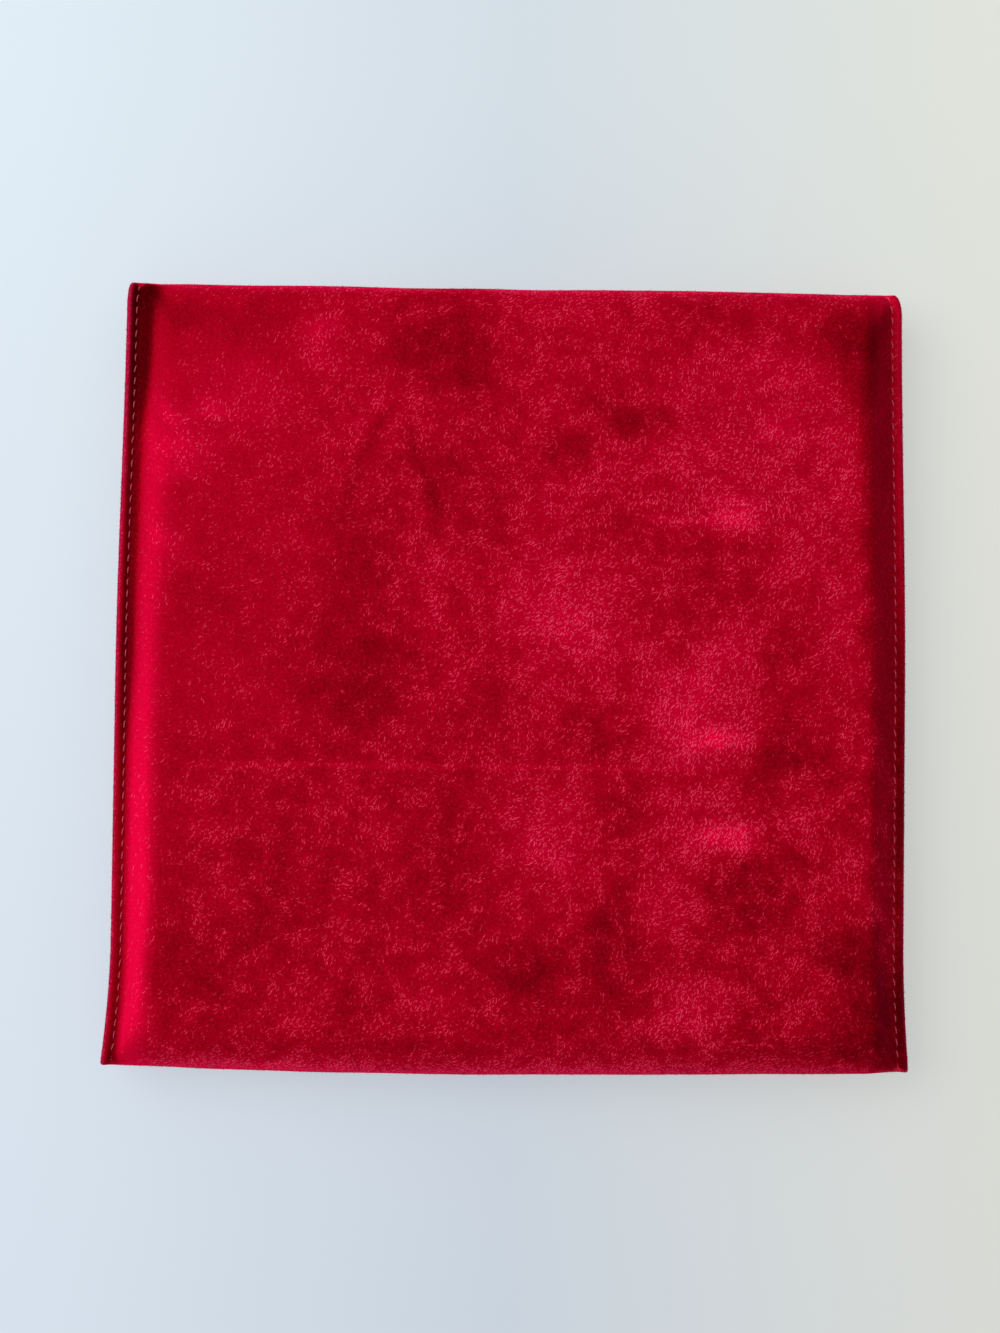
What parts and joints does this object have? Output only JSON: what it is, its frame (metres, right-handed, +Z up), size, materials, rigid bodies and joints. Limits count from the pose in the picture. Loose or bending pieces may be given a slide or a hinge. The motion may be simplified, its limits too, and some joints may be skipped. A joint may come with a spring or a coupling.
{
  "type": "jewelry pouch",
  "caption": "Soft padded square pouch with a fold-over flap and a press snap, for keeping jewelry.",
  "frame": {"origin": "middle of the pouch's outline, on the surface that its flap side lies on", "axes": "+Z up out of the plain back, +Y towards the top fold where the flap is hinged, +X to the right with the back up"},
  "size_m": [0.1292, 0.1262, 0.0146],
  "materials": {
    "red_velvet": "deep red microfibre velvet with a short, mottled nap",
    "red_lining": "smooth knitted red lining",
    "padding_felt": "soft off-white wadding",
    "stiffener_felt": "pressed fibre interlining",
    "red_thread": "twisted polyester sewing thread",
    "snap_brass": "plain polished brass",
    "spring_steel": "bright spring wire"
  },
  "bodies": {
    "pocket": {"velvet_back_panel": "red_velvet", "velvet_front_panel": "red_velvet", "lining_back_panel": "red_lining", "lining_front_panel": "red_lining", "padding_back": "padding_felt", "padding_front": "padding_felt", "left_seam_needle_thread": "red_thread", "left_seam_bobbin_thread": "red_thread", "right_seam_needle_thread": "red_thread", "right_seam_bobbin_thread": "red_thread", "mouth_needle_thread": "red_thread", "mouth_bobbin_thread": "red_thread", "snap_stud": "snap_brass", "snap_post": "snap_brass"},
    "flap": {"velvet_flap": "red_velvet", "lining_flap": "red_lining", "flap_stiffener": "stiffener_felt", "flap_needle_thread": "red_thread", "flap_bobbin_thread": "red_thread", "snap_cap": "snap_brass", "snap_socket": "snap_brass", "snap_spring": "spring_steel"}
  },
  "joints": [
    {"name": "flap_hinge", "type": "hinge", "parent": "pocket", "child": "flap", "pos_m": [0, 0.06325, 0.0073], "axis": [1, 0, 0], "range_deg": [0, 180]}
  ]
}
